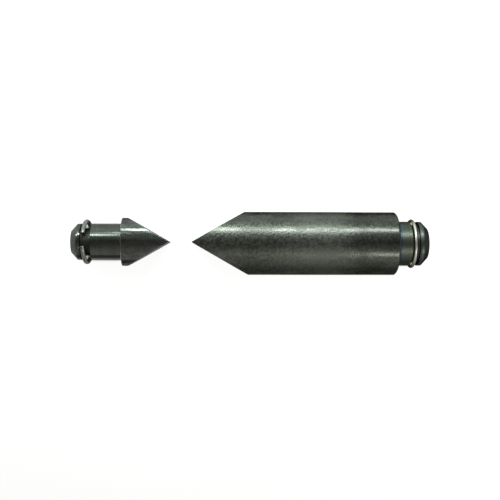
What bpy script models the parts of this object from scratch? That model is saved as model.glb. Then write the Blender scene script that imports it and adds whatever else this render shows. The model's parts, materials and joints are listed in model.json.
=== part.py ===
"""A pair of wedge-point splitting blades, each a turned steel bar with a wire snap ring on its spigot.

The blades lie on a flat surface, edge to edge along X, with +Z up and the surface at Z = 0.
The origin is under the middle of the pair. All sizes are in metres.
"""

import math
from typing import NamedTuple

import bmesh
import bpy
from mathutils import Matrix

# Sizes of the long blade, which lies on the +X side with its edge towards -X
LONG_HEAD_DIAMETER = 0.0200
LONG_BARREL_LENGTH = 0.0473
LONG_SHOULDER_CHAMFER = 0.0005
LONG_SPIGOT_DIAMETER = 0.0140
LONG_SPIGOT_LENGTH = 0.0100
LONG_END_CHAMFER_LENGTH = 0.0020
LONG_END_CHAMFER_DEPTH = 0.0021
LONG_GROOVE_SETBACK = 0.0056
LONG_GROOVE_WIDTH = 0.0024
LONG_WIRE_DIAMETER = 0.0010
LONG_RING_PROUD = 0.0008
LONG_RING_OPENING = 0.0030
LONG_RING_SLIDE = 0.00035
LONG_EDGE_OFFSET = 0.0003

# Sizes of the short blade, which lies on the -X side with its edge towards +X
SHORT_HEAD_DIAMETER = 0.0154
SHORT_BARREL_LENGTH = 0.0018
SHORT_SHOULDER_CHAMFER = 0.0002
SHORT_SPIGOT_DIAMETER = 0.0116
SHORT_SPIGOT_LENGTH = 0.0160
SHORT_END_CHAMFER_LENGTH = 0.0020
SHORT_END_CHAMFER_DEPTH = 0.0022
SHORT_GROOVE_SETBACK = 0.0112
SHORT_GROOVE_WIDTH = 0.0033
SHORT_WIRE_DIAMETER = 0.0014
SHORT_RING_PROUD = 0.00135
SHORT_RING_OPENING = 0.0039
SHORT_RING_SLIDE = 0.0
SHORT_EDGE_OFFSET = 0.0

# Sizes that both blades share
WEDGE_ANGLE = math.radians(60.0)
EDGE_LAND = 0.0002
ROOT_FILLET = 0.0004
RING_CLEARANCE = 0.0003

# Width of the facet along each head's underside, so that a faceted bar lies still
LYING_FACET_WIDTH = 0.0026

# How the pair lies: the space between the two edges, the short blade's sideways
# offset from the long one, and how far each ring's opening is turned from straight up
EDGE_GAP = 0.0074
SHORT_SIDE_OFFSET = 0.0004
LONG_OPENING_TURN = math.radians(170.0)
SHORT_OPENING_TURN = math.radians(-6.0)

# Facets of the turned and bent shapes
TURN_STEPS = 96
FILLET_STEPS = 3
RING_STEPS = 60
WIRE_SIDES = 12
SMOOTH_ANGLE = math.radians(25.0)

# Points closer together than this are one point
MERGE_DISTANCE = 1e-6


class BladeSizes(NamedTuple):
    """One blade and its ring. Lengths run along the axis from the shoulder face.

    The ring has slid from its groove's middle towards the shoulder, and the edge
    is ground a little off the axis, towards the blade's own -Y.
    """

    head_diameter: float
    barrel_length: float
    shoulder_chamfer: float
    spigot_diameter: float
    spigot_length: float
    end_chamfer_length: float
    end_chamfer_depth: float
    groove_setback: float
    groove_width: float
    wire_diameter: float
    ring_proud: float
    ring_opening: float
    ring_slide: float
    edge_offset: float

    @property
    def head_radius(self):
        return self.head_diameter / 2

    @property
    def spigot_radius(self):
        return self.spigot_diameter / 2

    @property
    def lying_height(self):
        """Height of the blade's axis above the surface that it lies on."""
        return math.sqrt(self.head_radius**2 - (LYING_FACET_WIDTH / 2) ** 2)

    @property
    def groove_floor_radius(self):
        """The groove is as deep as the wire, so the ring can be pressed flush with the spigot."""
        return self.spigot_radius - self.wire_diameter

    @property
    def edge_reach(self):
        """Distance from the shoulder face to the cutting edge."""
        wedge_length = (self.head_radius - EDGE_LAND / 2) / math.tan(WEDGE_ANGLE / 2)
        return self.barrel_length + wedge_length

    @property
    def ring_mean_radius(self):
        """The ring stands proud of the spigot all round, to catch in the socket."""
        return self.spigot_radius + self.ring_proud - self.wire_diameter / 2

    @property
    def ring_lean(self):
        """A loose ring leans across its groove until it almost meets the nearer wall."""
        side_play = (self.groove_width - self.wire_diameter) / 2 - self.ring_slide - RING_CLEARANCE
        return math.asin(side_play / self.ring_mean_radius)

    @property
    def ring_drop(self):
        """A loose ring hangs from its groove's floor, or stands on the surface below."""
        inner_radius = self.ring_mean_radius - self.wire_diameter / 2
        hanging = inner_radius - self.groove_floor_radius - RING_CLEARANCE
        ring_height = self.ring_mean_radius * math.cos(self.ring_lean) + self.wire_diameter / 2
        standing = self.lying_height - ring_height
        return min(hanging, standing)


LONG = BladeSizes(
    LONG_HEAD_DIAMETER,
    LONG_BARREL_LENGTH,
    LONG_SHOULDER_CHAMFER,
    LONG_SPIGOT_DIAMETER,
    LONG_SPIGOT_LENGTH,
    LONG_END_CHAMFER_LENGTH,
    LONG_END_CHAMFER_DEPTH,
    LONG_GROOVE_SETBACK,
    LONG_GROOVE_WIDTH,
    LONG_WIRE_DIAMETER,
    LONG_RING_PROUD,
    LONG_RING_OPENING,
    LONG_RING_SLIDE,
    LONG_EDGE_OFFSET,
)
SHORT = BladeSizes(
    SHORT_HEAD_DIAMETER,
    SHORT_BARREL_LENGTH,
    SHORT_SHOULDER_CHAMFER,
    SHORT_SPIGOT_DIAMETER,
    SHORT_SPIGOT_LENGTH,
    SHORT_END_CHAMFER_LENGTH,
    SHORT_END_CHAMFER_DEPTH,
    SHORT_GROOVE_SETBACK,
    SHORT_GROOVE_WIDTH,
    SHORT_WIRE_DIAMETER,
    SHORT_RING_PROUD,
    SHORT_RING_OPENING,
    SHORT_RING_SLIDE,
    SHORT_EDGE_OFFSET,
)


def clear_scene():
    for item in list(bpy.data.objects):
        bpy.data.objects.remove(item, do_unlink=True)


def steel(name, colour, roughness):
    """A blackened or bare steel finish."""
    material = bpy.data.materials.new(name)
    material.use_nodes = True
    shader = material.node_tree.nodes["Principled BSDF"]
    shader.inputs["Base Color"].default_value = (*colour, 1.0)
    shader.inputs["Roughness"].default_value = roughness
    shader.inputs["Metallic"].default_value = 1.0
    return material


def new_object(name, shape, material):
    """Turns a finished bmesh into an object, shaded smooth between its hard edges."""
    bmesh.ops.recalc_face_normals(shape, faces=shape.faces)
    mesh = bpy.data.meshes.new(name)
    shape.to_mesh(mesh)
    shape.free()
    mesh.materials.append(material)
    mesh.shade_smooth()
    mesh.set_sharp_from_angle(angle=SMOOTH_ANGLE)
    item = bpy.data.objects.new(name, mesh)
    bpy.context.scene.collection.objects.link(item)
    return item


def root_fillet(sizes):
    """Arc from the spigot's side up into the shoulder face, as (along, radius) pairs."""
    points = []
    for step in range(FILLET_STEPS + 1):
        turn = math.radians(90.0) * step / FILLET_STEPS
        along = -ROOT_FILLET * (1.0 - math.sin(turn))
        radius = sizes.spigot_radius + ROOT_FILLET * (1.0 - math.cos(turn))
        points.append((along, radius))
    return points


def bar_outline(sizes):
    """Half outline of the bar before its wedge is cut, from the spigot's end to the edge."""
    groove_far = -(sizes.groove_setback + sizes.groove_width / 2)
    groove_near = -(sizes.groove_setback - sizes.groove_width / 2)
    return [
        (-sizes.spigot_length, 0.0),
        (-sizes.spigot_length, sizes.spigot_radius - sizes.end_chamfer_depth),
        (-sizes.spigot_length + sizes.end_chamfer_length, sizes.spigot_radius),
        (groove_far, sizes.spigot_radius),
        (groove_far, sizes.groove_floor_radius),
        (groove_near, sizes.groove_floor_radius),
        (groove_near, sizes.spigot_radius),
        *root_fillet(sizes),
        (0.0, sizes.head_radius - sizes.shoulder_chamfer),
        (sizes.shoulder_chamfer, sizes.head_radius),
        (sizes.edge_reach, sizes.head_radius),
        (sizes.edge_reach, 0.0),
    ]


def turn_bar(sizes):
    """Revolves the half outline about the X axis into a closed bar."""
    bar = bmesh.new()
    corners = [bar.verts.new((along, 0.0, -radius)) for along, radius in bar_outline(sizes)]
    for first, second in zip(corners, corners[1:]):
        bar.edges.new((first, second))
    bmesh.ops.spin(
        bar,
        geom=list(bar.verts) + list(bar.edges),
        cent=(0.0, 0.0, 0.0),
        axis=(1.0, 0.0, 0.0),
        angle=math.tau,
        steps=TURN_STEPS,
        use_merge=True,
    )
    bmesh.ops.remove_doubles(bar, verts=bar.verts, dist=MERGE_DISTANCE)
    return bar


def cut_flat(bar, point, outward):
    """Cuts a flat through a point of the bar and takes away what lies outward of it."""
    cut = bmesh.ops.bisect_plane(
        bar,
        geom=list(bar.verts) + list(bar.edges) + list(bar.faces),
        dist=MERGE_DISTANCE,
        plane_co=point,
        plane_no=outward,
        clear_outer=True,
    )
    rim = [item for item in cut["geom_cut"] if isinstance(item, bmesh.types.BMEdge)]
    bmesh.ops.holes_fill(bar, edges=rim)


def make_blade(name, sizes, material):
    """A blade with its shoulder face at its origin and its upright edge towards its own +X."""
    bar = turn_bar(sizes)
    half_angle = WEDGE_ANGLE / 2
    for side in (1, -1):
        edge_side = (sizes.edge_reach, side * EDGE_LAND / 2 - sizes.edge_offset, 0.0)
        cut_flat(bar, edge_side, (math.sin(half_angle), side * math.cos(half_angle), 0.0))
    cut_flat(bar, (0.0, 0.0, -sizes.lying_height), (0.0, 0.0, -1.0))
    return new_object(name, bar, material)


def make_ring(name, sizes, opening_turn, material):
    """An open ring of round wire about its own X axis, its opening turned from its own +Z."""
    mean_radius = sizes.ring_mean_radius
    half_opening = math.asin(sizes.ring_opening / 2 / mean_radius)
    to_wire_end = Matrix.Rotation(opening_turn + half_opening, 4, "X")
    out_to_wire = Matrix.Translation((0.0, 0.0, mean_radius))
    across_wire = Matrix.Rotation(math.radians(90.0), 4, "X")
    wire = bmesh.new()
    bmesh.ops.create_circle(
        wire,
        radius=sizes.wire_diameter / 2,
        segments=WIRE_SIDES,
        matrix=to_wire_end @ out_to_wire @ across_wire,
    )
    bmesh.ops.spin(
        wire,
        geom=list(wire.verts) + list(wire.edges),
        cent=(0.0, 0.0, 0.0),
        axis=(1.0, 0.0, 0.0),
        angle=math.tau - 2.0 * half_opening,
        steps=RING_STEPS,
    )
    bmesh.ops.holes_fill(wire, edges=wire.edges)
    return new_object(name, wire, material)


def seat_ring(ring, sizes, blade):
    """Hangs a ring in its blade's groove, with its top leaning towards the spigot's end."""
    ring.parent = blade
    ring.location = (sizes.ring_slide - sizes.groove_setback, 0.0, -sizes.ring_drop)
    ring.rotation_euler = (0.0, -sizes.ring_lean, 0.0)


def lay_pair(long_blade, short_blade):
    """Lays both blades on Z = 0, edge to edge, with the origin under the pair's middle."""
    long_length = LONG.edge_reach + LONG.spigot_length
    short_length = SHORT.edge_reach + SHORT.spigot_length
    half_length = (long_length + EDGE_GAP + short_length) / 2
    long_blade.location = (half_length - LONG.spigot_length, 0.0, LONG.lying_height)
    long_blade.rotation_euler = (0.0, 0.0, math.pi)
    short_blade.location = (SHORT.spigot_length - half_length, SHORT_SIDE_OFFSET, SHORT.lying_height)


def main():
    clear_scene()
    scaled_black = steel("blackened_steel_scaled", (0.075, 0.080, 0.073), 0.42)
    turned_black = steel("blackened_steel_turned", (0.070, 0.075, 0.069), 0.30)
    bright_wire = steel("spring_wire_bright", (0.56, 0.56, 0.53), 0.26)
    dull_wire = steel("spring_wire_dull", (0.33, 0.34, 0.33), 0.32)

    long_blade = make_blade("long_blade", LONG, scaled_black)
    long_ring = make_ring("long_snap_ring", LONG, LONG_OPENING_TURN, bright_wire)
    short_blade = make_blade("short_blade", SHORT, turned_black)
    short_ring = make_ring("short_snap_ring", SHORT, SHORT_OPENING_TURN, dull_wire)

    seat_ring(long_ring, LONG, long_blade)
    seat_ring(short_ring, SHORT, short_blade)
    lay_pair(long_blade, short_blade)


main()
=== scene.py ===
"""Looks of a pair of wedge-point splitter blades with wire snap rings, seen from straight above.

Each blade is turned up from its spigot's end, then its wedge is ground and its corners are broken.
Sizes are in metres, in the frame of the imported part: X along the blades, Z up.
"""

import json
import math
from typing import NamedTuple

import bmesh
import bpy
from mathutils import Matrix, Vector


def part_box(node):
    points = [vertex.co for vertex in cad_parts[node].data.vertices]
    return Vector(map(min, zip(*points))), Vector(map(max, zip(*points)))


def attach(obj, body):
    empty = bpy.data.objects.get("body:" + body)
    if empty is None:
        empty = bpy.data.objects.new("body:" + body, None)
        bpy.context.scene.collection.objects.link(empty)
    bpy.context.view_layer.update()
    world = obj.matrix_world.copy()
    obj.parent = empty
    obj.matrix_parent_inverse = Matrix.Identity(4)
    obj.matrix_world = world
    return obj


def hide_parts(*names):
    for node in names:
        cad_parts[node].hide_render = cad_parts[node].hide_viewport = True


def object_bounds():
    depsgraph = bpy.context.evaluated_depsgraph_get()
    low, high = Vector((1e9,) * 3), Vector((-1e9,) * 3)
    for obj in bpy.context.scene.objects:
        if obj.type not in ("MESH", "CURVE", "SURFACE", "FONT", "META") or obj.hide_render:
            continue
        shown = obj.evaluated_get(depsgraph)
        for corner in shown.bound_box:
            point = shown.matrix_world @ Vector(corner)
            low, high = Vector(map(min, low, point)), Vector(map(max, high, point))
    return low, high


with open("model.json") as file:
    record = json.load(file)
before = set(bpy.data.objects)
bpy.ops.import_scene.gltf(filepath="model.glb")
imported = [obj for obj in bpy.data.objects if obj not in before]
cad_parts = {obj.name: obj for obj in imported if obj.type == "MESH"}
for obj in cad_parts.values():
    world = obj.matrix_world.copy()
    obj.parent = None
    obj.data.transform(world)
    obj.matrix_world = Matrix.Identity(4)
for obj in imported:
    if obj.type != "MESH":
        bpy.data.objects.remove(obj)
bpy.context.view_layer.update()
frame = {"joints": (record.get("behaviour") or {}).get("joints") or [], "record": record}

X_AXIS = Vector((1.0, 0.0, 0.0))
QUARTER_TURN = math.radians(90.0)

# Facets of the turned and bent shapes, and how they are joined and shaded
TURN_SIDES = 192
FILLET_STEPS = 6
WIRE_SIDES = 28
RING_STEPS = 180
MERGE_DISTANCE = 1e-7
SHARP_ANGLE = math.radians(20.0)
SMOOTH_ANGLE = math.radians(32.0)
LARGE_FACE_WEIGHT = 100

# Wedges and broken corners
WEDGE_HALF_ANGLE = math.radians(30.0)
EDGE_LAND = 0.0002
ROOT_FILLET = 0.0004
CLEAR_OF_CORNER = 1.5           # this many times a corner's size is well past it
END_CORNER_ROUND = 0.00035
END_CORNER_STEPS = 4
RIM_ROUND_SHARE = 0.4           # of the shoulder's chamfer
RIM_STEPS = 3
GROOVE_CORNER_ROUND = 0.00006
WEDGE_CORNER_ROUND = 0.00007
FINE_CORNER_STEPS = 2
WIRE_END_SHARE = 0.25           # of the wire's radius
WIRE_END_STEPS = 3


class Blade(NamedTuple):
    """A blade's sizes. The groove's setback is measured from the shoulder face to its middle."""

    node: str
    towards: float          # +1 where the edge points along +X, -1 where it points along -X
    shoulder: str           # the mount on the shoulder face
    head_radius: float
    spigot_radius: float
    shoulder_chamfer: float
    end_chamfer_length: float
    end_chamfer_depth: float
    groove_setback: float
    groove_width: float
    groove_depth: float
    edge_offset: float      # how far off the axis the edge is ground, to the right as it points


class Ring(NamedTuple):
    """A snap ring. Its opening is turned from straight up, the way that +Y goes to +Z."""

    node: str
    joint: str
    wire_radius: float
    opening: float
    opening_turn: float


class Reach(NamedTuple):
    """How far a blade goes from its shoulder face, both ways along its axis."""

    to_end: float
    to_edge: float


LONG = Blade(
    node="long_blade", towards=-1.0, shoulder="long_shoulder_seat",
    head_radius=0.0100, spigot_radius=0.0070, shoulder_chamfer=0.0005,
    end_chamfer_length=0.0020, end_chamfer_depth=0.0021,
    groove_setback=0.0056, groove_width=0.0024, groove_depth=0.0010, edge_offset=0.0003)
SHORT = Blade(
    node="short_blade", towards=1.0, shoulder="short_shoulder_seat",
    head_radius=0.0077, spigot_radius=0.0058, shoulder_chamfer=0.0002,
    end_chamfer_length=0.0020, end_chamfer_depth=0.0022,
    groove_setback=0.0112, groove_width=0.0033, groove_depth=0.0014, edge_offset=0.0)
LONG_RING = Ring(
    node="long_snap_ring", joint="long_ring_turn",
    wire_radius=0.0005, opening=0.0030, opening_turn=math.radians(170.0))
SHORT_RING = Ring(
    node="short_snap_ring", joint="short_ring_turn",
    wire_radius=0.0007, opening=0.0039, opening_turn=math.radians(-6.0))


def named(rows, name):
    """The mount or joint of that name."""
    for row in rows:
        if row["name"] == name:
            return row
    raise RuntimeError(f"the record has nothing named {name}")


def shoulder_x(blade):
    mount = named(frame["record"]["mounts"], blade.shoulder)
    return Vector(mount["pos_m"]).x


def blade_axis(blade):
    """The point on the blade's axis at its shoulder face."""
    low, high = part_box(blade.node)
    return Vector((shoulder_x(blade), (low.y + high.y) / 2, high.z - blade.head_radius))


def blade_reach(blade):
    low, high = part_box(blade.node)
    shoulder = shoulder_x(blade)
    below, above = shoulder - low.x, high.x - shoulder
    return Reach(below, above) if blade.towards > 0 else Reach(above, below)


def on_axis(blade, axis, along):
    """The point on the axis that lies so far from the shoulder towards the edge."""
    return axis + blade.towards * along * X_AXIS


def along_axis(blade, axis, point):
    """How far from the shoulder towards the edge a point lies."""
    return blade.towards * (point.x - axis.x)


def out_from_axis(axis, point):
    return (point - axis).yz.length


def past_fillet(blade):
    """A distance from the axis that is well outside the fillet at the spigot's root."""
    return blade.spigot_radius + CLEAR_OF_CORNER * ROOT_FILLET


# Modelling


def deselect():
    bpy.ops.object.select_all(action="DESELECT")


def active():
    return bpy.context.view_layer.objects.active


def make_active(piece):
    deselect()
    piece.select_set(True)
    bpy.context.view_layer.objects.active = piece


def edit():
    bpy.ops.object.mode_set(mode="EDIT")


def leave_edit():
    bpy.ops.object.mode_set(mode="OBJECT")


def close_seams():
    """Merges doubles and turns all faces outwards, in edit mode."""
    bpy.ops.mesh.select_all(action="SELECT")
    bpy.ops.mesh.remove_doubles(threshold=MERGE_DISTANCE)
    bpy.ops.mesh.normals_make_consistent(inside=False)


def extrude_by(move):
    bpy.ops.mesh.extrude_region_move(TRANSFORM_OT_translate={"value": move})


def place_in_mesh():
    bpy.ops.object.transform_apply(location=True, rotation=True, scale=True)


def name_piece(name):
    piece = active()
    piece.name = name
    piece.data.name = name
    return piece


def turn_stations(blade):
    """(distance from the shoulder towards the edge, radius) of each step of the turned outline."""
    reach = blade_reach(blade)
    groove_far = -(blade.groove_setback + blade.groove_width / 2)
    groove_near = -(blade.groove_setback - blade.groove_width / 2)
    floor_radius = blade.spigot_radius - blade.groove_depth
    stations = [
        (-reach.to_end, blade.spigot_radius - blade.end_chamfer_depth),
        (-reach.to_end + blade.end_chamfer_length, blade.spigot_radius),
        (groove_far, blade.spigot_radius),
        (groove_far, floor_radius),
        (groove_near, floor_radius),
        (groove_near, blade.spigot_radius),
    ]
    for step in range(FILLET_STEPS + 1):
        turn = QUARTER_TURN * step / FILLET_STEPS
        stations.append((-ROOT_FILLET * (1.0 - math.sin(turn)),
                         blade.spigot_radius + ROOT_FILLET * (1.0 - math.cos(turn))))
    return stations + [
        (0.0, blade.head_radius - blade.shoulder_chamfer),
        (blade.shoulder_chamfer, blade.head_radius),
        (reach.to_edge + blade.shoulder_chamfer, blade.head_radius),
    ]


def turn_bar(blade, axis):
    """Extrudes the spigot's end disc along the axis, widening or narrowing it at each station."""
    stations = turn_stations(blade)
    along, radius = stations[0]
    deselect()
    bpy.ops.mesh.primitive_circle_add(
        vertices=TURN_SIDES, radius=radius, fill_type="NGON",
        location=on_axis(blade, axis, along), rotation=(0.0, QUARTER_TURN, 0.0))
    place_in_mesh()
    bar = name_piece(blade.node + "_finished")
    edit()
    bpy.ops.mesh.select_mode(type="FACE")
    bpy.ops.mesh.select_all(action="SELECT")
    for next_along, next_radius in stations[1:]:
        extrude_by((blade.towards * (next_along - along), 0.0, 0.0))
        share = next_radius / radius
        bpy.ops.transform.resize(
            value=(1.0, share, share), center_override=on_axis(blade, axis, next_along))
        along, radius = next_along, next_radius
    leave_edit()
    return bar


def grind_wedge(blade, axis):
    """Cuts the two flats that meet in the upright edge."""
    edge = on_axis(blade, axis, blade_reach(blade).to_edge)
    edge.y -= blade.towards * blade.edge_offset
    lean = blade.towards * math.sin(WEDGE_HALF_ANGLE)
    edit()
    for side in (1.0, -1.0):
        bpy.ops.mesh.select_all(action="SELECT")
        bpy.ops.mesh.bisect(
            plane_co=edge + Vector((0.0, side * EDGE_LAND / 2, 0.0)),
            plane_no=(lean, side * math.cos(WEDGE_HALF_ANGLE), 0.0),
            use_fill=True, clear_outer=True, threshold=MERGE_DISTANCE)
    close_seams()
    leave_edit()


def round_corners(wanted, width, steps):
    """Bevels the sharp edges whose middle is wanted."""
    edit()
    bpy.ops.mesh.select_mode(type="EDGE")
    bpy.ops.mesh.select_all(action="DESELECT")
    shape = bmesh.from_edit_mesh(active().data)
    for edge in shape.edges:
        middle = (edge.verts[0].co + edge.verts[1].co) / 2
        if edge.calc_face_angle(0.0) > SHARP_ANGLE and wanted(middle):
            edge.select_set(True)
    shape.select_flush(True)
    bmesh.update_edit_mesh(active().data)
    bpy.ops.mesh.bevel(offset=width, segments=steps, affect="EDGES", clamp_overlap=True)
    leave_edit()


def smooth_between_corners(piece):
    """Smooth shading that follows the large faces, so that rounded corners don't bend them."""
    bpy.ops.object.shade_smooth_by_angle(angle=SMOOTH_ANGLE)
    normals = piece.modifiers.new("large_faces_lead", "WEIGHTED_NORMAL")
    normals.keep_sharp = True
    normals.weight = LARGE_FACE_WEIGHT
    bpy.ops.object.modifier_apply(modifier=normals.name)


def make_blade(blade):
    axis = blade_axis(blade)
    bar = turn_bar(blade, axis)
    grind_wedge(blade, axis)
    make_active(bar)
    end_zone = -blade_reach(blade).to_end + blade.end_chamfer_length + GROOVE_CORNER_ROUND

    def on_end(point):
        return along_axis(blade, axis, point) < end_zone

    def on_rim(point):
        along = along_axis(blade, axis, point)
        beside = -MERGE_DISTANCE < along < blade.shoulder_chamfer + MERGE_DISTANCE
        return beside and out_from_axis(axis, point) > past_fillet(blade)

    def on_groove(point):
        return end_zone < along_axis(blade, axis, point) < -CLEAR_OF_CORNER * ROOT_FILLET

    def on_wedge(point):
        return along_axis(blade, axis, point) > CLEAR_OF_CORNER * blade.shoulder_chamfer

    round_corners(on_end, END_CORNER_ROUND, END_CORNER_STEPS)
    round_corners(on_rim, blade.shoulder_chamfer * RIM_ROUND_SHARE, RIM_STEPS)
    round_corners(on_groove, GROOVE_CORNER_ROUND, FINE_CORNER_STEPS)
    round_corners(on_wedge, WEDGE_CORNER_ROUND, FINE_CORNER_STEPS)
    smooth_between_corners(bar)
    return bar, axis


def make_ring(ring):
    """Spins a disc of wire round the ring's own axis, then leans the ring into its groove."""
    joint = named(frame["joints"], ring.joint)
    low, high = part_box(ring.node)
    mean_radius = (high.y - low.y) / 2 - ring.wire_radius
    half_opening = math.asin(ring.opening / 2 / mean_radius)
    start = ring.opening_turn - half_opening
    deselect()
    bpy.ops.mesh.primitive_circle_add(
        vertices=WIRE_SIDES, radius=ring.wire_radius, fill_type="NGON",
        location=(0.0, -math.sin(start) * mean_radius, math.cos(start) * mean_radius),
        rotation=(QUARTER_TURN + start, 0.0, 0.0))
    place_in_mesh()
    piece = name_piece(ring.node + "_finished")
    edit()
    bpy.ops.mesh.select_all(action="SELECT")
    bpy.ops.mesh.spin(steps=RING_STEPS, angle=math.tau - 2 * half_opening,
                      center=(0.0, 0.0, 0.0), axis=X_AXIS)
    close_seams()
    leave_edit()
    round_corners(lambda point: True, ring.wire_radius * WIRE_END_SHARE, WIRE_END_STEPS)
    piece.rotation_mode = "QUATERNION"
    piece.rotation_quaternion = X_AXIS.rotation_difference(Vector(joint["axis"]))
    piece.location = joint["pos_m"]
    place_in_mesh()
    bpy.ops.object.shade_smooth_by_angle(angle=SMOOTH_ANGLE)
    return piece


# Shader nodes

# Sockets of a Mix node that are for colours
MIX_FIRST = 6
MIX_SECOND = 7
MIX_RESULT = 2


def add_node(tree, kind, **settings):
    node = tree.nodes.new(kind)
    for key, value in settings.items():
        setattr(node, key, value)
    return node


def join(tree, source, target):
    tree.links.new(source, target)


def maths(tree, operation, first, second=0.0):
    """A Math node whose inputs are sockets or plain numbers."""
    node = add_node(tree, "ShaderNodeMath", operation=operation)
    for socket, value in zip(node.inputs, (first, second)):
        if isinstance(value, (int, float)):
            socket.default_value = value
        else:
            join(tree, value, socket)
    return node.outputs[0]


def rest_of(tree, share):
    """What a share leaves of 1."""
    return maths(tree, "SUBTRACT", 1.0, share)


def blend(tree, first, second, share):
    """The first value, with a share of it replaced by the second."""
    kept = maths(tree, "MULTIPLY", first, 1.0 - share)
    return maths(tree, "ADD", kept, maths(tree, "MULTIPLY", second, share))


def share_between(tree, value, low, high, **settings):
    """How far a value has come from low to high, from 0 to 1."""
    node = add_node(tree, "ShaderNodeMapRange", **settings)
    node.inputs["From Min"].default_value = low
    node.inputs["From Max"].default_value = high
    join(tree, value, node.inputs["Value"])
    return node.outputs["Result"]


def value_at(tree, share, low, high):
    """The value at a share of the way from low to high, also past either."""
    node = add_node(tree, "ShaderNodeMapRange", clamp=False)
    node.inputs["To Min"].default_value = low
    node.inputs["To Max"].default_value = high
    join(tree, share, node.inputs["Value"])
    return node.outputs["Result"]


def mix_colours(tree, share, first, second):
    """A mix of two colours, each a socket or a plain colour."""
    node = add_node(tree, "ShaderNodeMix", data_type="RGBA")
    join(tree, share, node.inputs["Factor"])
    for socket, value in ((node.inputs[MIX_FIRST], first), (node.inputs[MIX_SECOND], second)):
        if isinstance(value, tuple):
            socket.default_value = (*value, 1.0)
        else:
            join(tree, value, socket)
    return node.outputs[MIX_RESULT]


def tint(tree, colour, by):
    node = add_node(tree, "ShaderNodeMix", data_type="RGBA", blend_type="MULTIPLY")
    node.inputs["Factor"].default_value = 1.0
    join(tree, colour, node.inputs[MIX_FIRST])
    join(tree, by, node.inputs[MIX_SECOND])
    return node.outputs[MIX_RESULT]


def ramp(tree, place, stops):
    """Colours blended between stops, each a position from 0 to 1 and a colour."""
    node = add_node(tree, "ShaderNodeValToRGB")
    join(tree, place, node.inputs[0])
    made = node.color_ramp.elements
    while len(made) < len(stops):
        made.new(1.0)
    for element, (position, colour) in zip(made, stops):
        element.position = position
        element.color = (*colour, 1.0)
    return node.outputs[0]


def split_place(tree, vector):
    """A node that gives a place's X, Y and Z."""
    node = add_node(tree, "ShaderNodeSeparateXYZ")
    join(tree, vector, node.inputs[0])
    return node


def add_noise(tree, texture, **settings):
    node = add_node(tree, "ShaderNodeTexNoise", **settings)
    node.inputs["Detail"].default_value = texture.detail
    node.inputs["Roughness"].default_value = texture.roughness
    return node


def new_group(name, inputs, outputs):
    """A shader node group that reads a Vector and plain numbers, and puts out values."""
    tree = bpy.data.node_groups.new(name, "ShaderNodeTree")
    tree.interface.new_socket("Vector", in_out="INPUT", socket_type="NodeSocketVector")
    for socket in inputs:
        tree.interface.new_socket(socket, in_out="INPUT", socket_type="NodeSocketFloat")
    for socket in outputs:
        tree.interface.new_socket(socket, in_out="OUTPUT", socket_type="NodeSocketFloat")
    return tree, tree.nodes.new("NodeGroupInput"), tree.nodes.new("NodeGroupOutput")


def use_group(tree, group, vector, values):
    node = add_node(tree, "ShaderNodeGroup", node_tree=group)
    join(tree, vector, node.inputs["Vector"])
    for socket, value in values.items():
        node.inputs[socket].default_value = value
    return node


# Finishes


class Texture(NamedTuple):
    """A noise, and the part of its values that is spread out from 0 to 1."""

    detail: float
    roughness: float
    low: float
    high: float


PATCHES = Texture(detail=4.0, roughness=0.62, low=0.36, high=0.64)
GRAIN = Texture(detail=2.0, roughness=0.6, low=0.34, high=0.66)
LINES = Texture(detail=3.0, roughness=0.7, low=0.3, high=0.7)
PATCH_SHRINK = (0.5, 1.0, 1.0)  # of the pattern's coordinates, which draws the patches out along X


def make_mottle_group():
    """Heat scale: broad patches drawn out along the bar, and a fine grain all over it."""
    tree, given, result = new_group(
        "heat_scale_mottle", ("Patch Scale", "Grain Scale"), ("Patches", "Grain"))
    shrink = add_node(tree, "ShaderNodeVectorMath", operation="MULTIPLY")
    shrink.inputs[1].default_value = PATCH_SHRINK
    join(tree, given.outputs["Vector"], shrink.inputs[0])
    for name, scale, texture, vector in (
            ("Patches", "Patch Scale", PATCHES, shrink.outputs[0]),
            ("Grain", "Grain Scale", GRAIN, given.outputs["Vector"])):
        noise = add_noise(tree, texture)
        join(tree, vector, noise.inputs["Vector"])
        join(tree, given.outputs[scale], noise.inputs["Scale"])
        spread = share_between(tree, noise.outputs[0], texture.low, texture.high,
                               interpolation_type="SMOOTHSTEP")
        join(tree, spread, result.inputs[name])
    return tree


def make_lathe_group():
    """Turning lines: rings of slightly different depth along the bar."""
    tree, given, result = new_group("turning_lines", ("Lines Per Metre",), ("Lines",))
    along = split_place(tree, given.outputs["Vector"]).outputs["X"]
    noise = add_noise(tree, LINES, noise_dimensions="1D")
    noise.inputs["Scale"].default_value = 1.0
    count = maths(tree, "MULTIPLY", along, given.outputs["Lines Per Metre"])
    join(tree, count, noise.inputs["W"])
    join(tree, share_between(tree, noise.outputs[0], LINES.low, LINES.high), result.inputs["Lines"])
    return tree


MOTTLE = make_mottle_group()
LATHE = make_lathe_group()


class Finish(NamedTuple):
    """How a steel surface looks: colours and roughness of its dark and light patches."""

    name: str
    dark: tuple
    light: tuple
    smooth: float
    rough: float
    grain_size: float
    grain_height: float
    patch_size: float
    line_pitch: float
    line_share: float
    grazing: float              # how much a glancing reflection keeps of its strength
    scale_depth: tuple = ()     # thickness of the scale at shares of the way from shoulder to edge
    temper: tuple = ()          # tints at shares of the way from shoulder to spigot end
    worn_rim: float = 0.0       # width of the worn strip beside the wedge flats
    # painted shade: a ring drawn darker and yellower at its middle height, where it lies beside the
    # spigot seen from above
    flank_shade: tuple = ()           # tints of a ring from its middle height to its top and underside


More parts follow.
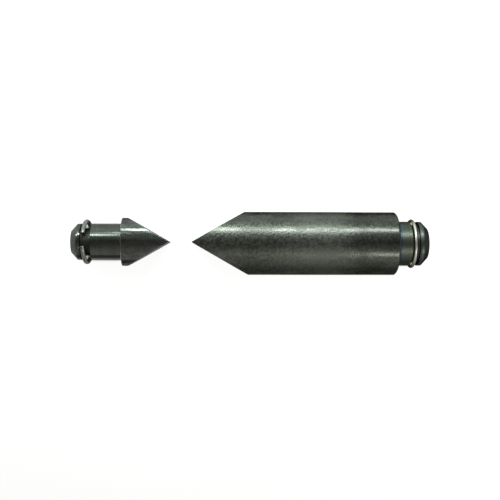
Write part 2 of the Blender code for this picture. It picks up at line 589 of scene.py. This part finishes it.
BODY_SCALE = Finish(
    "black heat scale", dark=(0.058, 0.060, 0.053), light=(0.114, 0.119, 0.107),
    smooth=0.19, rough=0.41, grain_size=0.0008, grain_height=0.000012, patch_size=0.0042,
    line_pitch=0.0010, line_share=0.0, grazing=0.28,
    scale_depth=((0.0, 0.05), (0.07, 0.08), (0.14, 0.24), (0.20, 0.24),
                 (0.30, 0.84), (0.42, 0.84), (0.62, 0.5), (1.0, 0.5)))
GROUND_FLAT = Finish(
    "blackened ground flat", dark=(0.028, 0.030, 0.027), light=(0.046, 0.048, 0.044),
    smooth=0.24, rough=0.36, grain_size=0.0005, grain_height=0.000010, patch_size=0.0030,
    line_pitch=0.0002, line_share=0.3, grazing=0.2)
TURNED_LONG = Finish(
    "blackened turned spigot", dark=(0.028, 0.030, 0.028), light=(0.114, 0.122, 0.114),
    smooth=0.30, rough=0.46, grain_size=0.0005, grain_height=0.000010, patch_size=0.0030,
    line_pitch=0.00040, line_share=0.85, grazing=0.3,
    temper=((0.0, (0.62, 0.70, 1.20)), (0.08, (0.66, 0.74, 1.05)), (0.14, (0.95, 1.05, 0.95)),
            (0.35, (1.0, 1.05, 0.95)), (0.43, (1.0, 1.0, 0.60)), (0.50, (1.0, 1.0, 0.60)),
            (0.60, (1.0, 1.03, 1.06))))
TURNED_HEAD = Finish(
    "blackened turned head", dark=(0.052, 0.053, 0.048), light=(0.116, 0.122, 0.113),
    smooth=0.06, rough=0.11, grain_size=0.0006, grain_height=0.000003, patch_size=0.0015,
    line_pitch=0.00040, line_share=0.2, grazing=0.35, worn_rim=0.0011)
TURNED_SHORT = Finish(
    "blackened turned short spigot", dark=(0.042, 0.046, 0.041), light=(0.098, 0.104, 0.096),
    smooth=0.11, rough=0.17, grain_size=0.0005, grain_height=0.0000015, patch_size=0.0015,
    line_pitch=0.00040, line_share=0.5, grazing=0.6)
# Painted highlight: the short blade's shoulder chamfer gets a far lighter colour, which paints the thin
# light line that the key lamp draws along it
RIM_PAINTED_HIGHLIGHT = Finish(
    "worn shoulder rim", dark=(0.26, 0.25, 0.23), light=(0.38, 0.36, 0.34),
    smooth=0.25, rough=0.40, grain_size=0.0005, grain_height=0.000006, patch_size=0.0030,
    line_pitch=0.00040, line_share=0.2, grazing=0.6)
MATT_END = Finish(
    "matt spigot end", dark=(0.058, 0.061, 0.056), light=(0.098, 0.102, 0.094),
    smooth=0.38, rough=0.52, grain_size=0.0004, grain_height=0.000020, patch_size=0.0020,
    line_pitch=0.0003, line_share=0.5, grazing=0.8)
DARK_END = Finish(
    "dark spigot end", dark=(0.046, 0.049, 0.046), light=(0.084, 0.089, 0.084),
    smooth=0.36, rough=0.50, grain_size=0.0004, grain_height=0.000012, patch_size=0.0020,
    line_pitch=0.0003, line_share=0.5, grazing=0.15)
# Painted shade: the ring grooves get a darker colour than the spigot, which stands in for the shade
# inside them
GROOVE_PAINTED_SHADE = Finish(
    "dark groove", dark=(0.030, 0.030, 0.026), light=(0.055, 0.055, 0.048),
    smooth=0.35, rough=0.50, grain_size=0.0004, grain_height=0.000010, patch_size=0.0020,
    line_pitch=0.0003, line_share=0.5, grazing=0.3)
# Its flank tints paint shade: the ring is darker and yellower at middle height than at its top and
# underside
BRIGHT_WIRE = Finish(
    "bright spring wire", dark=(0.42, 0.42, 0.40), light=(0.60, 0.60, 0.57),
    smooth=0.30, rough=0.44, grain_size=0.0004, grain_height=0.000010, patch_size=0.0020,
    line_pitch=0.0003, line_share=0.2, grazing=0.1,
    flank_shade=((0.0, (0.36, 0.36, 0.28)), (0.40, (0.44, 0.44, 0.34)), (0.75, (1.0, 1.0, 0.97))))
DULL_WIRE = Finish(
    "dull spring wire", dark=(0.15, 0.16, 0.15), light=(0.27, 0.28, 0.27),
    smooth=0.24, rough=0.38, grain_size=0.0005, grain_height=0.000015, patch_size=0.0025,
    line_pitch=0.0003, line_share=0.2, grazing=0.4)

LONG_FINISHES = {
    "head": BODY_SCALE, "flat": GROUND_FLAT, "spigot": TURNED_LONG,
    "end": DARK_END, "groove": GROOVE_PAINTED_SHADE}
SHORT_FINISHES = {
    "head": TURNED_HEAD, "flat": GROUND_FLAT, "spigot": TURNED_SHORT,
    "end": MATT_END, "groove": GROOVE_PAINTED_SHADE, "rim": RIM_PAINTED_HIGHLIGHT}

# What grain, scale and wear do to a surface's lightness and polish, which go from 0 to 1
GRAIN_IN_COLOUR = 0.45
GRAIN_IN_POLISH = 0.65
PATCH_RISE = 0.3                # height of the patches beside the grain's
EVEN_SCALE = 0.5                # the thickness that changes nothing
THIN_CLEANER = 1.6
THIN_DARKER = 0.25              # at most
CLEAN_POLISH = 0.95
WORN_ROUGHER = 1.6
WORN_LIGHTER = 0.5


def bar_coordinates(tree, blade, axis):
    """Object coordinates measured from the shoulder: X towards the edge, Y and Z from the axis."""
    place = add_node(tree, "ShaderNodeTexCoord")
    mapping = add_node(tree, "ShaderNodeMapping")
    mapping.inputs["Location"].default_value = (-blade.towards * axis.x, -axis.y, -axis.z)
    mapping.inputs["Scale"].default_value = (blade.towards, 1.0, 1.0)
    join(tree, place.outputs["Object"], mapping.inputs["Vector"])
    return mapping.outputs[0]


def scale_thickness(tree, blade, place, scale_depth):
    """How much thicker the scale is than even scale, below 0 where it is thinner."""
    share = maths(tree, "DIVIDE", place.outputs["X"], blade_reach(blade).to_edge)
    greys = tuple((position, (depth, depth, depth)) for position, depth in scale_depth)
    return maths(tree, "SUBTRACT", ramp(tree, share, greys), EVEN_SCALE)


def even_out(tree, polish, thicker, thin):
    """The polish of scale: clean where it is thin, rougher where it is thick."""
    even = maths(tree, "MULTIPLY", maths(tree, "SUBTRACT", CLEAN_POLISH, polish), thin)
    thick = maths(tree, "MAXIMUM", thicker, 0.0)
    return maths(tree, "SUBTRACT", maths(tree, "ADD", polish, even), thick)


def worn_share(tree, blade, place, width):
    """1 at the rim of either wedge flat, falling to 0 at the worn strip's width."""
    to_edge = maths(tree, "SUBTRACT", blade_reach(blade).to_edge, place.outputs["X"])
    to_side = maths(tree, "SUBTRACT", EDGE_LAND / 2, maths(tree, "ABSOLUTE", place.outputs["Y"]))
    inside = maths(tree, "ADD", maths(tree, "MULTIPLY", to_edge, math.sin(WEDGE_HALF_ANGLE)),
                   maths(tree, "MULTIPLY", to_side, math.cos(WEDGE_HALF_ANGLE)))
    return share_between(tree, inside, width, 0.0)


def steel_finish(finish, blade, axis):
    material = bpy.data.materials.new(finish.name)
    material.use_nodes = True
    tree = material.node_tree
    shader = tree.nodes["Principled BSDF"]
    shader.inputs["Metallic"].default_value = 1.0
    shader.inputs["Specular Tint"].default_value = (finish.grazing, finish.grazing, finish.grazing, 1.0)
    vector = bar_coordinates(tree, blade, axis)
    place = split_place(tree, vector)
    mottle = use_group(tree, MOTTLE, vector, {"Patch Scale": 1.0 / finish.patch_size,
                                              "Grain Scale": 1.0 / finish.grain_size})
    lathe = use_group(tree, LATHE, vector, {"Lines Per Metre": 1.0 / finish.line_pitch})
    patches, grain, lines = mottle.outputs["Patches"], mottle.outputs["Grain"], lathe.outputs["Lines"]
    mottled = blend(tree, patches, rest_of(tree, grain), GRAIN_IN_COLOUR)
    lightness = blend(tree, mottled, lines, finish.line_share)
    polish = blend(tree, blend(tree, patches, grain, GRAIN_IN_POLISH), lines, finish.line_share)
    relief = 1.0
    if finish.scale_depth:
        thicker = scale_thickness(tree, blade, place, finish.scale_depth)
        thin = maths(tree, "MULTIPLY", maths(tree, "MINIMUM", thicker, 0.0), -THIN_CLEANER)
        lightness = maths(tree, "ADD", lightness, maths(tree, "MAXIMUM", thicker, -THIN_DARKER))
        polish = even_out(tree, polish, thicker, thin)
        relief = rest_of(tree, thin)
    if finish.worn_rim:
        worn = worn_share(tree, blade, place, finish.worn_rim)
        lightness = maths(tree, "ADD", lightness, maths(tree, "MULTIPLY", worn, WORN_LIGHTER))
        polish = maths(tree, "SUBTRACT", polish, maths(tree, "MULTIPLY", worn, WORN_ROUGHER))
    colour = mix_colours(tree, lightness, finish.dark, finish.light)
    if finish.temper:
        share = maths(tree, "DIVIDE", place.outputs["X"], -blade_reach(blade).to_end)
        colour = tint(tree, colour, ramp(tree, share, finish.temper))
    # Painted shade: tints a ring darker and yellower at its middle height than at its top and underside
    if finish.flank_shade:
        height = maths(tree, "ABSOLUTE", place.outputs["Z"])
        share = maths(tree, "DIVIDE", height, blade.spigot_radius)
        colour = tint(tree, colour, ramp(tree, share, finish.flank_shade))
    join(tree, colour, shader.inputs["Base Color"])
    join(tree, value_at(tree, polish, finish.rough, finish.smooth), shader.inputs["Roughness"])
    rise = maths(tree, "ADD", grain, maths(tree, "MULTIPLY", lines, finish.line_share))
    rise = maths(tree, "ADD", rise, maths(tree, "MULTIPLY", patches, PATCH_RISE))
    bump = add_node(tree, "ShaderNodeBump")
    bump.inputs["Strength"].default_value = 1.0
    bump.inputs["Distance"].default_value = finish.grain_height
    join(tree, maths(tree, "MULTIPLY", rise, relief), bump.inputs["Height"])
    join(tree, bump.outputs["Normal"], shader.inputs["Normal"])
    return material


# How a face's normal tells where the face lies
UPRIGHT = 0.02                  # the most that a wedge flat's normal rises
FLAT_LEAN = (0.3, 0.9)          # how much of it points the way of the edge
SHOULDER_LEAN = 0.95            # the least that the shoulder face's normal points along the axis
HEAD_START = -0.2 * ROOT_FILLET


def place_on_blade(blade, axis, reach, face):
    """Where a face lies: head, flat, spigot, end, groove or rim."""
    along = along_axis(blade, axis, face.center)
    out = out_from_axis(axis, face.center)
    lean = blade.towards * face.normal.x
    barrel_end = reach.to_edge - (blade.head_radius + blade.edge_offset) / math.tan(WEDGE_HALF_ANGLE)
    groove_half = blade.groove_width / 2 + GROOVE_CORNER_ROUND
    beside_shoulder = -MERGE_DISTANCE < along < blade.shoulder_chamfer
    if beside_shoulder and out > past_fillet(blade) and abs(lean) < SHOULDER_LEAN:
        return "rim"
    if along > barrel_end and abs(face.normal.z) < UPRIGHT and FLAT_LEAN[0] < lean < FLAT_LEAN[1]:
        return "flat"
    if along > HEAD_START:
        return "head"
    if along < -reach.to_end + blade.end_chamfer_length:
        return "end"
    below_surface = out < blade.spigot_radius - GROOVE_CORNER_ROUND
    if abs(along + blade.groove_setback) < groove_half and below_surface:
        return "groove"
    return "spigot"


def finish_blade(piece, blade, axis, finishes):
    """Gives each face the finish of its place. A rim without one of its own looks like the head."""
    piece.data.materials.clear()
    for finish in finishes.values():
        piece.data.materials.append(steel_finish(finish, blade, axis))
    order = list(finishes)
    reach = blade_reach(blade)
    for face in piece.data.polygons:
        place = place_on_blade(blade, axis, reach, face)
        face.material_index = order.index(place if place in finishes else "head")


def finish_ring(piece, blade, axis, finish):
    piece.data.materials.clear()
    piece.data.materials.append(steel_finish(finish, blade, axis))


# The four pieces

long_piece, long_axis = make_blade(LONG)
finish_blade(long_piece, LONG, long_axis, LONG_FINISHES)
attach(long_piece, "long_blade")
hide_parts("long_blade")

short_piece, short_axis = make_blade(SHORT)
finish_blade(short_piece, SHORT, short_axis, SHORT_FINISHES)
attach(short_piece, "short_blade")
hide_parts("short_blade")

long_ring = make_ring(LONG_RING)
finish_ring(long_ring, LONG, long_axis, BRIGHT_WIRE)
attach(long_ring, "long_snap_ring")
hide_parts("long_snap_ring")

short_ring = make_ring(SHORT_RING)
finish_ring(short_ring, SHORT, short_axis, DULL_WIRE)
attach(short_ring, "short_snap_ring")
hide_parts("short_snap_ring")


# Stage: a white sheet that hangs over the table's front edge, and a bench below it

SHEET_FRONT = -0.010
SHEET_BACK = 0.40
SHEET_HALF_WIDTH = 0.30
SHEET_COLOUR = (0.42, 0.42, 0.42)
SHEET_GLOW = 0.82
TABLE_EDGE_RADIUS = 0.03
DRAPE_FALL = math.radians(36.0)
DRAPE_LENGTH = 0.12
DRAPE_STEPS = 12
BENCH_REACH = 2.0
BENCH_DROP = 0.15
BENCH_COLOUR = (0.40, 0.40, 0.38)
MATT_ROUGHNESS = 0.9

# Shade below the spigots. A sky is how open it is above the sheet where shade begins and is full.
COVER_HEIGHT = 0.012
COVER_SAMPLES = 8
LONG_SKY = (0.92, 0.70)
SHORT_SKY = (0.77, 0.61)
SHADE_SIDE_SOFTNESS = 0.0008
SHADE_END_SOFTNESS = 0.0022
SEEN_SHADE_MARGIN = 0.0006
MIRRORED_SHADE_MARGIN = 0.004


def shade_span(tree, place, low, high, softness):
    """1 between two places, falling to 0 at either of them over the softness."""
    rise = share_between(tree, maths(tree, "SUBTRACT", place, low), 0.0, softness)
    fall = share_between(tree, maths(tree, "SUBTRACT", high, place), 0.0, softness)
    return maths(tree, "MULTIPLY", rise, fall)


def under_spigot(tree, blade, axis, place, margin):
    """1 in the deep shade below a blade's spigot, 0 further out than the margin beside it."""
    spigot_end = on_axis(blade, axis, -blade_reach(blade).to_end)
    left, right = sorted((axis.x, spigot_end.x))
    half = blade.spigot_radius + margin
    along = shade_span(tree, place.outputs["X"], left, right, SHADE_END_SOFTNESS)
    across = shade_span(tree, place.outputs["Y"], axis.y - half, axis.y + half, SHADE_SIDE_SOFTNESS)
    return maths(tree, "MULTIPLY", along, across)


def spigot_shade(tree, blade, axis, place, sky):
    """The shade seen below a spigot, only where something really hangs close above the sheet."""
    open_sky, covered_sky = sky
    above = add_node(tree, "ShaderNodeAmbientOcclusion", samples=COVER_SAMPLES)
    above.inputs["Distance"].default_value = COVER_HEIGHT
    covered = share_between(tree, above.outputs["AO"], open_sky, covered_sky)
    below = under_spigot(tree, blade, axis, place, SEEN_SHADE_MARGIN)
    return maths(tree, "MULTIPLY", below, covered)


def whiten(tree, shader, glow):
    """Lifts a sheet to white for the camera and for what metal mirrors, and keeps its shadows."""
    path = add_node(tree, "ShaderNodeLightPath")
    place = split_place(tree, add_node(tree, "ShaderNodeTexCoord").outputs["Object"])
    shade = maths(tree, "MAXIMUM", spigot_shade(tree, LONG, long_axis, place, LONG_SKY),
                  spigot_shade(tree, SHORT, short_axis, place, SHORT_SKY))
    seen = maths(tree, "MULTIPLY", path.outputs["Is Camera Ray"], rest_of(tree, shade))
    shade = maths(tree, "MAXIMUM", under_spigot(tree, LONG, long_axis, place, MIRRORED_SHADE_MARGIN),
                  under_spigot(tree, SHORT, short_axis, place, MIRRORED_SHADE_MARGIN))
    mirror = maths(tree, "MAXIMUM", path.outputs["Is Glossy Ray"], path.outputs["Is Transmission Ray"])
    mirrored = maths(tree, "MULTIPLY", mirror, rest_of(tree, shade))
    strength = maths(tree, "MULTIPLY", maths(tree, "ADD", seen, mirrored), glow)
    shader.inputs["Emission Color"].default_value = (1.0, 1.0, 1.0, 1.0)
    join(tree, strength, shader.inputs["Emission Strength"])


def lay_sheet(name, front, back, half_width, height):
    """A level sheet between two places along Y."""
    deselect()
    bpy.ops.mesh.primitive_plane_add(size=1.0, location=(0.0, (front + back) / 2, height))
    sheet = name_piece(name)
    sheet.scale = (2 * half_width, back - front, 1.0)
    place_in_mesh()
    return sheet


def drape_front(sheet, bend_radius, fall, length):
    """Draws the sheet's front edge out over a rounded table edge and down a slope."""
    front = min(corner.co.y for corner in sheet.data.vertices)
    for corner in sheet.data.vertices:
        corner.select = corner.co.y < front + MERGE_DISTANCE
    edit()
    bpy.ops.mesh.select_mode(type="EDGE")
    step = bend_radius * fall / DRAPE_STEPS
    for number in range(DRAPE_STEPS):
        turn = fall * (number + 0.5) / DRAPE_STEPS
        extrude_by((0.0, -step * math.cos(turn), -step * math.sin(turn)))
    extrude_by((0.0, -length * math.cos(fall), -length * math.sin(fall)))
    leave_edit()
    bpy.ops.object.shade_smooth()


def colour_sheet(sheet, colour, glow):
    material = bpy.data.materials.new(sheet.name.replace("_", " "))
    material.use_nodes = True
    shader = material.node_tree.nodes["Principled BSDF"]
    shader.inputs["Base Color"].default_value = (*colour, 1.0)
    shader.inputs["Roughness"].default_value = MATT_ROUGHNESS
    shader.inputs["Specular IOR Level"].default_value = 0.0
    if glow:
        whiten(material.node_tree, shader, glow)
    sheet.data.materials.append(material)


table_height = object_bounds()[0].z
white_sheet = lay_sheet("white_sheet", SHEET_FRONT, SHEET_BACK, SHEET_HALF_WIDTH, table_height)
drape_front(white_sheet, TABLE_EDGE_RADIUS, DRAPE_FALL, DRAPE_LENGTH)
colour_sheet(white_sheet, SHEET_COLOUR, SHEET_GLOW)
dark_bench = lay_sheet("dark_bench", -BENCH_REACH, BENCH_REACH, BENCH_REACH, table_height - BENCH_DROP)
colour_sheet(dark_bench, BENCH_COLOUR, 0.0)


# Light


class StripLamp(NamedTuple):
    """A strip lamp along X that faces the pair from the +Y side, or with a side of -1 from -Y."""

    name: str
    side: float
    off_vertical: float         # in degrees
    slide: float                # where its middle is along X
    length: float
    width: float
    power: float
    colour: tuple


LAMP_DISTANCE = 0.5
COOL_WHITE = (0.92, 1.0, 0.97)
LAMPS = (
    StripLamp("key_strip_long", side=1.0, off_vertical=49.5, slide=0.014,
              length=0.13, width=0.056, power=0.66, colour=COOL_WHITE),
    StripLamp("key_strip_far", side=1.0, off_vertical=49.5, slide=0.184,
              length=0.21, width=0.062, power=0.68, colour=COOL_WHITE),
    StripLamp("key_strip_head", side=1.0, off_vertical=59.0, slide=-0.0762,
              length=0.034, width=0.096, power=0.165, colour=(0.95, 1.0, 0.98)),
    StripLamp("key_strip_spigot", side=1.0, off_vertical=44.0, slide=-0.2245,
              length=0.24, width=0.105, power=0.98, colour=COOL_WHITE),
    StripLamp("soft_fill", side=-1.0, off_vertical=40.5, slide=0.270,
              length=0.25, width=0.03, power=0.56, colour=(0.98, 1.0, 0.95)),
)

# The room's colours at shares of the way from -Y, over the top, to +Y
NEAR_WALL = (
    (0.0, (0.44, 0.44, 0.41)), (0.05, (0.50, 0.50, 0.465)), (0.2, (0.72, 0.72, 0.67)),
    (0.36, (0.34, 0.34, 0.32)), (0.55, (0.24, 0.235, 0.22)), (0.8, (0.64, 0.76, 0.68)),
    (1.0, (1.22, 1.46, 1.34)))
FAR_SIDE = (
    (0.0, (0.44, 0.44, 0.41)), (0.05, (0.78, 0.81, 0.76)), (0.2, (0.96, 0.98, 0.92)),
    (0.36, (0.37, 0.37, 0.34)), (0.55, (0.135, 0.13, 0.125)), (0.8, (0.50, 0.58, 0.53)),
    (1.0, (0.90, 1.06, 0.98)))
SHORT_SIDE = (
    (0.0, (0.80, 0.80, 0.77)), (0.05, (0.72, 0.72, 0.69)), (0.2, (0.44, 0.44, 0.42)),
    (0.36, (0.26, 0.255, 0.245)), (0.55, (0.21, 0.205, 0.195)), (0.8, (0.64, 0.76, 0.68)),
    (1.0, (1.60, 1.88, 1.74)))
# How much a direction points along X where one part of the room gives way to the next
NEAR_TO_FAR = (-0.01, 0.22)
NEAR_TO_SHORT = (-0.05, -0.08)


def hang_lamp(strip):
    data = bpy.data.lights.new(strip.name, "AREA")
    data.shape = "RECTANGLE"
    data.size = strip.length
    data.size_y = strip.width
    data.energy = strip.power
    data.color = strip.colour
    lamp = bpy.data.objects.new(strip.name, data)
    bpy.context.scene.collection.objects.link(lamp)
    turn = math.radians(strip.off_vertical)
    away = Vector((0.0, strip.side * math.sin(turn), math.cos(turn)))
    lamp.location = Vector((strip.slide, 0.0, LONG.head_radius)) + away * LAMP_DISTANCE
    lamp.rotation_euler = Matrix((X_AXIS, away.cross(X_AXIS), away)).transposed().to_euler()


def make_world():
    """A dim room: lightest towards +Y, most of all on the short blade's side, and darkest overhead."""
    world = bpy.data.worlds.new("dim_room")
    bpy.context.scene.world = world
    world.use_nodes = True
    tree = world.node_tree
    direction = split_place(tree, add_node(tree, "ShaderNodeTexCoord").outputs["Generated"])
    across = share_between(tree, direction.outputs["Y"], -1.0, 1.0)
    far = share_between(tree, direction.outputs["X"], *NEAR_TO_FAR)
    short = share_between(tree, direction.outputs["X"], *NEAR_TO_SHORT)
    room = mix_colours(tree, far, ramp(tree, across, NEAR_WALL), ramp(tree, across, FAR_SIDE))
    room = mix_colours(tree, short, room, ramp(tree, across, SHORT_SIDE))
    background = tree.nodes["Background"]
    join(tree, room, background.inputs["Color"])
    background.inputs["Strength"].default_value = 1.0


for strip_lamp in LAMPS:
    hang_lamp(strip_lamp)
make_world()


# Camera

CAMERA_PLACE = (-0.01155, -0.00214, 0.2802)
CAMERA_LEAN = math.radians(-1.49)
CAMERA_TURN = math.radians(0.122)
CAMERA_SHIFT = 0.03
LENS_MM = 61.36
SENSOR_MM = 36.0
NEAREST_SEEN = 0.01
FURTHEST_SEEN = 20.0


def set_camera():
    data = bpy.data.cameras.new("camera")
    data.lens = LENS_MM
    data.sensor_width = SENSOR_MM
    data.shift_x = CAMERA_SHIFT
    data.clip_start = NEAREST_SEEN
    data.clip_end = FURTHEST_SEEN
    camera = bpy.data.objects.new("camera", data)
    camera.location = CAMERA_PLACE
    camera.rotation_euler = (0.0, CAMERA_LEAN, CAMERA_TURN)
    bpy.context.scene.collection.objects.link(camera)
    bpy.context.scene.camera = camera
    bpy.context.scene.view_settings.view_transform = "Standard"


set_camera()
